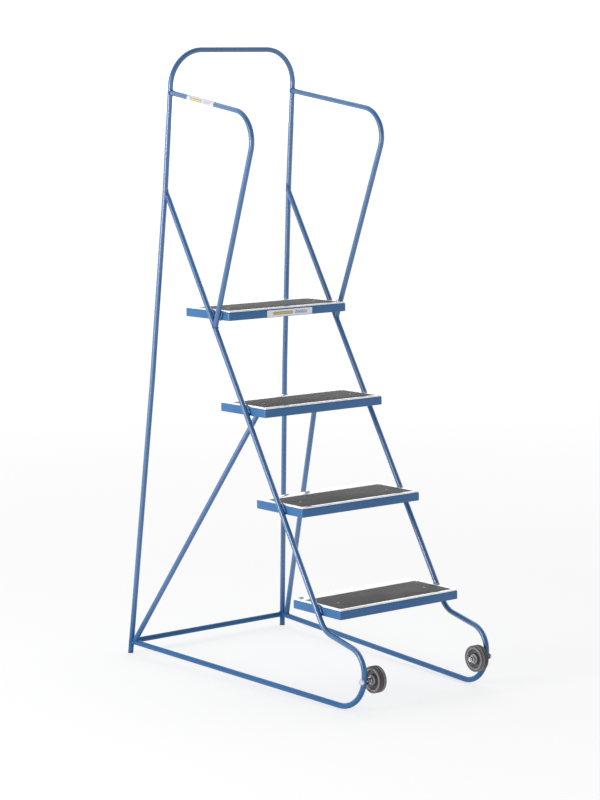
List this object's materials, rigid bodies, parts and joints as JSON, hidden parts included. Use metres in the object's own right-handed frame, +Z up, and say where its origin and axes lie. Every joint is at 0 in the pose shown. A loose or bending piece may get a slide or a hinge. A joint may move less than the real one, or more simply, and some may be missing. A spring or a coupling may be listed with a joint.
{
  "type": "rolling warehouse ladder",
  "caption": "Welded tube warehouse steps with folded anti-slip treads, open handrails and two small wheels that roll when the steps are tipped forward.",
  "frame": {"origin": "centre of the bounding box at floor level", "axes": "+Z up; -Y is the climbing side with the wheels; +X is to the right of a person who climbs"},
  "size_m": [0.567, 1.017, 1.7195],
  "materials": {
    "tube_paint": "gloss powder coat on round tube",
    "tread_paint": "gloss powder coat on folded sheet",
    "edging_aluminium": "bright rolled strip",
    "tread_mat": "matt grit anti-slip mat",
    "zinc_steel": "bright zinc plate",
    "wheel_tyre": "matt grey rubber",
    "wheel_hub": "satin grey moulding",
    "foot_plug": "matt black plastic",
    "label": "gloss vinyl film"
  },
  "bodies": {
    "frame": {"rear_frame": "tube_paint", "left_side_frame": "tube_paint", "right_side_frame": "tube_paint", "left_handrail": "tube_paint", "right_handrail": "tube_paint", "left_brace": "tube_paint", "right_brace": "tube_paint", "rear_cross_bar": "tube_paint", "tread_1_tray": "tread_paint", "tread_1_edging": "edging_aluminium", "tread_1_mat": "tread_mat", "tread_1_rivets": "zinc_steel", "tread_2_tray": "tread_paint", "tread_2_edging": "edging_aluminium", "tread_2_mat": "tread_mat", "tread_2_rivets": "zinc_steel", "tread_3_tray": "tread_paint", "tread_3_edging": "edging_aluminium", "tread_3_mat": "tread_mat", "tread_3_rivets": "zinc_steel", "tread_4_tray": "tread_paint", "tread_4_edging": "edging_aluminium", "tread_4_mat": "tread_mat", "tread_4_rivets": "zinc_steel", "left_axle_bolt": "zinc_steel", "left_axle_washers": "zinc_steel", "left_axle_nut": "zinc_steel", "left_tube_nut": "zinc_steel", "left_foot_plug": "foot_plug", "right_axle_bolt": "zinc_steel", "right_axle_washers": "zinc_steel", "right_axle_nut": "zinc_steel", "right_tube_nut": "zinc_steel", "right_foot_plug": "foot_plug", "handrail_label": "label", "platform_label": "label"},
    "left_wheel": {"left_wheel_tyre": "wheel_tyre", "left_wheel_hub": "wheel_hub", "left_wheel_bush": "zinc_steel"},
    "right_wheel": {"right_wheel_tyre": "wheel_tyre", "right_wheel_hub": "wheel_hub", "right_wheel_bush": "zinc_steel"}
  },
  "joints": [
    {"name": "left_wheel_spin", "type": "hinge", "parent": "frame", "child": "left_wheel", "pos_m": [-0.178, -0.473, 0.088], "axis": [1, 0, 0], "continuous": true},
    {"name": "right_wheel_spin", "type": "hinge", "parent": "frame", "child": "right_wheel", "pos_m": [0.178, -0.473, 0.088], "axis": [1, 0, 0], "continuous": true}
  ]
}
